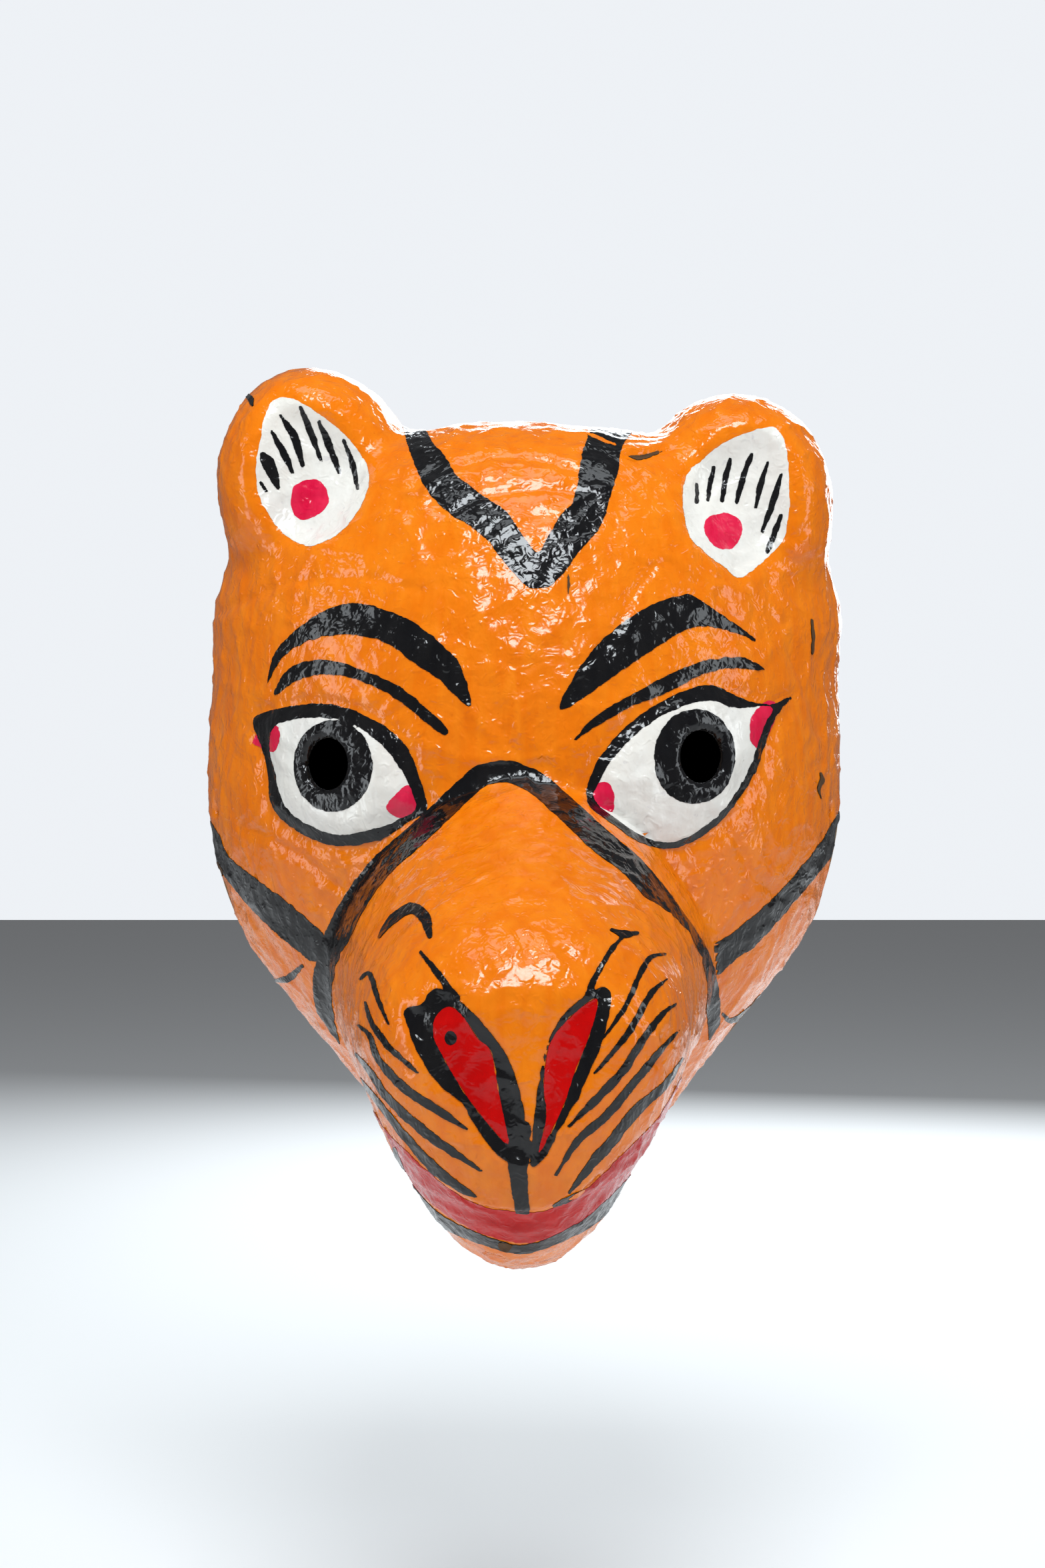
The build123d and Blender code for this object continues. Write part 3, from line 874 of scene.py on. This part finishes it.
def joint_band(verts):
    """Distance past a band along the muzzle's root; the band is wide above and narrow on the sides."""
    from_face = np.array([trees[FACE].find_nearest(Vector(p))[3] for p in verts])
    from_muzzle = np.array([trees[MUZZLE].find_nearest(Vector(p))[3] for p in verts])
    width = np.interp(drawn(verts)[:, 1], [-78, -60, -45, -30, -10], [9, 16, 26, 40, 70])
    return np.maximum(from_face, from_muzzle) / MM - width


paint("muzzle_band", MUZZLE_BAND, BLACK, 0.17, limit=joint_band)
paint("cheek_stripes", CHEEK_STRIPES, BLACK, 0.15, (FACE,))

# %% Black: nose and mouth
NOSE_LINES = [
    stroke((-43, -46, 0.8), (-39, -40.8, 2.6), (-33.4, -37.4, 3.2), (-29.4, -40, 3.4), (-27.8, -45.6, 1.6)),
    stroke((-30.4, -50.6, 0.8), (-25.6, -56.6, 2.0), (-19.8, -64.4, 2.2)),
    stroke((19.4, -63.6, 1.8), (22.2, -57.2, 1.6), (26.8, -49.6, 1.4), (30.6, -45.2, 1.0)),
    stroke((26.6, -43.8, 0.8), (30.4, -45.2, 2.2), (34.4, -44.8, 0.8)),
    stroke((0, -103, 4.6), (-1.2, -110, 6.4), (-1.2, -118, 5.2), (0, -128.4, 4.2)),
]
nostril_line = [
    lambda p: np.maximum(outline_distance(p, LEFT_NOSTRIL), -outline_distance(p, LEFT_NOSTRIL_RED)),
    lambda p: np.maximum(outline_distance(p, RIGHT_NOSTRIL), -outline_distance(p, RIGHT_NOSTRIL_RED)),
]
paint("nose_black", NOSE_LINES + nostril_line, BLACK, 0.24, (MUZZLE,))
LIP_LINE = [stroke((-38.4, -109.4, 1.0), (-34.4, -119.8, 2.2), (-27.4, -128.8, 3.2), (-19.6, -133.6, 3.0),
                   (-9.2, -137.6, 2.6),
                   (-0.8, -139.6, 2.6), (7, -137.8, 2.6), (17.8, -132.6, 3.0), (25, -127, 3.2), (33.6, -118,
                                                                                                 2.8),
                   (40, -109, 2.6), (45.6, -98.6, 1.6), (50, -89, 1.2))]
paint("lip_line", LIP_LINE, BLACK, 0.18, (MUZZLE, JAW), mouth_corner)

# %% Black: whiskers
LEFT_WHISKERS = [
    stroke((-48.8, -58.6, 0.7), (-45.8, -57, 1.4), (-43.4, -64.4, 1.4), (-40.2, -72, 0.6)),
    stroke((-47.2, -65.4, 0.7), (-45, -72, 1.6), (-39.6, -79.4, 1.8), (-31.4, -86.6, 0.7)),
    stroke((-49.2, -72.4, 0.7), (-45.8, -75.6, 1.4), (-43.2, -82.6, 2.0), (-35.6, -91, 2.6), (-24.6, -98.4,
                                                                                              2.4), (-16,
                                                                                                     -104,
                                                                                                     0.8)),
    stroke((-50, -81, 0.7), (-45, -87.2, 2.0), (-40.2, -94.4, 2.4), (-29.2, -104.4, 2.8), (-21.4, -110,
                                                                                           2.4), (-12.4,
                                                                                                  -116,
                                                                                                  0.8)),
    stroke((-50, -87, 0.7), (-42.8, -96, 1.8), (-34.8, -106.2, 2.4), (-26, -115.6, 3.2), (-19.8, -120.4,
                                                                                          2.6), (-14,
                                                                                                 -123.8,
                                                                                                 0.8)),
]
RIGHT_WHISKERS = [
    stroke((42.8, -51, 0.6), (38.2, -52.2, 1.4), (34.8, -58, 1.6), (30.8, -66.8, 1.6), (23.8, -76.8, 0.6)),
    stroke((43.2, -58.6, 0.6), (38.6, -62.8, 1.6), (34, -71, 1.9), (30, -77, 1.8), (21.4, -87, 0.6)),
    stroke((46.4, -65.8, 0.6), (41.8, -69.2, 1.6), (34.8, -78.6, 2.2), (30, -86.2, 2.4), (22, -94.6, 2.4),
           (14, -102.6, 0.7)),
    stroke((46.8, -74, 0.6), (41.8, -79.4, 1.6), (34.8, -88, 2.4), (25.2, -99.4, 2.6), (16.6, -107, 2.2),
           (10, -117.2, 0.7)),
    stroke((48, -82.4, 0.6), (42.6, -90.4, 2.2), (34, -98, 3.0), (26.8, -107, 3.2), (20.6, -114.2, 3.0),
           (14, -122.6, 0.8)),
    stroke((16.8, -122.6, 0.7), (13, -125, 1.8), (9.4, -126.4, 0.7)),
]
paint("left_whiskers", LEFT_WHISKERS, BLACK, 0.15, (MUZZLE,))
paint("right_whiskers", RIGHT_WHISKERS, BLACK, 0.15, (MUZZLE,))

# %% Age: cracks and chips
CRACKS = [
    stroke((31.5, 98.4, 0.5), (35, 97.8, 1.4), (38.6, 98.8, 1.1), (42.4, 100.2, 0.4)),
    stroke((13.6, 63.2, 0.3), (13.8, 60, 0.6), (13.5, 57, 0.3)),
    stroke((86.8, 49.4, 0.5), (87.2, 44, 1.0), (86.9, 39, 0.4)),
    stroke((89.2, 3.4, 0.5), (89.8, 1.2, 1.2), (88.9, -1.4, 0.8), (89.6, -4.8, 0.4)),
    stroke((31.8, -118.6, 0.4), (32.8, -120.6, 1.0), (33.6, -122, 0.4)),
    stroke((-91.4, -23.6, 0.6), (-90.4, -26, 1.2), (-90.2, -27.4, 0.5)),
    stroke((-6.8, -138.2, 1.2), (-5.0, -138.9, 2.4), (-3.6, -138.4, 1.0)),
]
# The cracks are torn paper edges with painted shade in their gaps.
paint("cracks", CRACKS, TORN_EDGE_AND_SHADE, 0.26)
CHIPS = [area(ellipse((-21.6, -76.2), 1.9, 2.2)), stroke((-83.4, 117, 0.8), (-81.6, 115.6, 1.6), (-81,
                                                                                                  113.6,
                                                                                                  0.6))]
paint("chips", CHIPS, BLACK, 0.26)
WORN = [stroke((19.6, 105, 0.6), (22.4, 103.8, 1.1), (25.8, 102.4, 0.8), (28.8, 101.2, 0.4)),
        stroke((14.2, -124.4, 0.5), (16.4, -123.2, 1.2), (18.4, -121.8, 0.5))]
paint("worn_paint", WORN, ORANGE, 0.22)

# %% [markdown]
# The frame's own strips, patches and rim binding are bare kraft paper. Two joint strips are replaced by
# copies that are drawn in with the muzzle; the rest stay as the CAD has them.

# %% Bare paper on the CAD nodes
for node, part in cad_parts.items():
    if node not in PAPER_NODES:
        part.data.materials.clear()
        part.data.materials.append(KRAFT)
for node in ("jaw_joint_strip", "muzzle_joint_strip"):
    strip = merged_copy(node + "_paper", [node])
    set_points(strip, drawn_in(points_of(strip)))
    strip.data.materials.append(KRAFT)
    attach(strip, "root")
    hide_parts(node)
bpy.data.objects.remove(skin)

# %% [markdown]
# The stage: a plain pale floor in a plain pale room. A black card stands behind the sight
# holes as painted shade, so that they look dark like the shaded hollow inside; from behind, and for
# light, the card is clear. The light is soft: a panel above and in front breaks up on forehead and
# nose, and weaker ones light the top and the sides.

# %% Stage and light
def plain(name, colour):
    material = bpy.data.materials.new(name)
    material.use_nodes = True
    shader = material.node_tree.nodes["Principled BSDF"]
    shader.inputs["Base Color"].default_value = (*colour, 1)
    shader.inputs["Roughness"].default_value = 1.0
    shader.inputs["Specular IOR Level"].default_value = 0.0
    return material


FLOOR_LEVEL = cad_box[0][2] - 0.15
bpy.ops.mesh.primitive_plane_add(size=8.0, location=(0, 0, FLOOR_LEVEL))
floor = bpy.context.object
floor.name = "floor"
floor.data.materials.append(plain("pale_floor", (0.90, 0.90, 0.90)))

# Painted shade: a black sheet behind the sight holes stands in for the dark hollow inside the mask.
card_finish = plain("black_card", (0.0, 0.0, 0.0))
tree = card_finish.node_tree
hidden = math_node(tree, "MAXIMUM", tree.nodes.new("ShaderNodeNewGeometry").outputs["Backfacing"],
                   tree.nodes.new("ShaderNodeLightPath").outputs["Is Shadow Ray"])
either = tree.nodes.new("ShaderNodeMixShader")
tree.links.new(hidden, either.inputs["Fac"])
tree.links.new(tree.nodes["Principled BSDF"].outputs["BSDF"], either.inputs[1])
tree.links.new(tree.nodes.new("ShaderNodeBsdfTransparent").outputs["BSDF"], either.inputs[2])
tree.links.new(either.outputs["Shader"], tree.nodes["Material Output"].inputs["Surface"])
SHADE_CARD_RADIUS = 0.078
SHADE_CARD_STRETCH = 1.18
bpy.ops.mesh.primitive_circle_add(vertices=64, radius=SHADE_CARD_RADIUS, fill_type="NGON", location=(0, 0.003,
                                                                                               -0.100),
                                  rotation=(math.pi / 2, 0, 0))
card = bpy.context.object
card.name = "black_card"
card.scale.y = SHADE_CARD_STRETCH
card.data.materials.append(card_finish)


def soft_light(name, place, aim, size, power):
    bpy.ops.object.light_add(type="AREA", location=place)
    light = bpy.context.object
    light.name = name
    light.rotation_euler = (Vector(aim) - Vector(place)).to_track_quat("-Z", "Y").to_euler()
    light.data.shape = "RECTANGLE"
    light.data.size, light.data.size_y = size
    light.data.energy = power
    light.data.color = (0.90, 0.96, 1.0)


MIDDLE = (0, -0.06, -0.08)
soft_light("key_light", (0.02, -0.74, 0.70), MIDDLE, (0.42, 0.36), 10.0)
soft_light("top_light", (0.0, -0.25, 0.95), MIDDLE, (0.9, 0.3), 3.0)
soft_light("left_light", (-1.15, -0.45, 0.05), MIDDLE, (0.3, 1.0), 4.4)
soft_light("right_light", (1.15, -0.45, 0.05), MIDDLE, (0.3, 1.0), 4.0)
soft_light("back_light", (0.25, 1.10, 0.35), MIDDLE, (0.8, 0.8), 12.0)

# %% World: pale to the camera, dimmer as a light
world = bpy.data.worlds.new("studio")
world.use_nodes = True
tree = world.node_tree
background = tree.nodes["Background"]
background.inputs["Color"].default_value = (0.93, 0.96, 1.0, 1)
seen = tree.nodes.new("ShaderNodeLightPath").outputs["Is Camera Ray"]
tree.links.new(range_node(tree, seen, 0.0, 1.0, 0.16, 0.92), background.inputs["Strength"])
bpy.context.scene.world = world
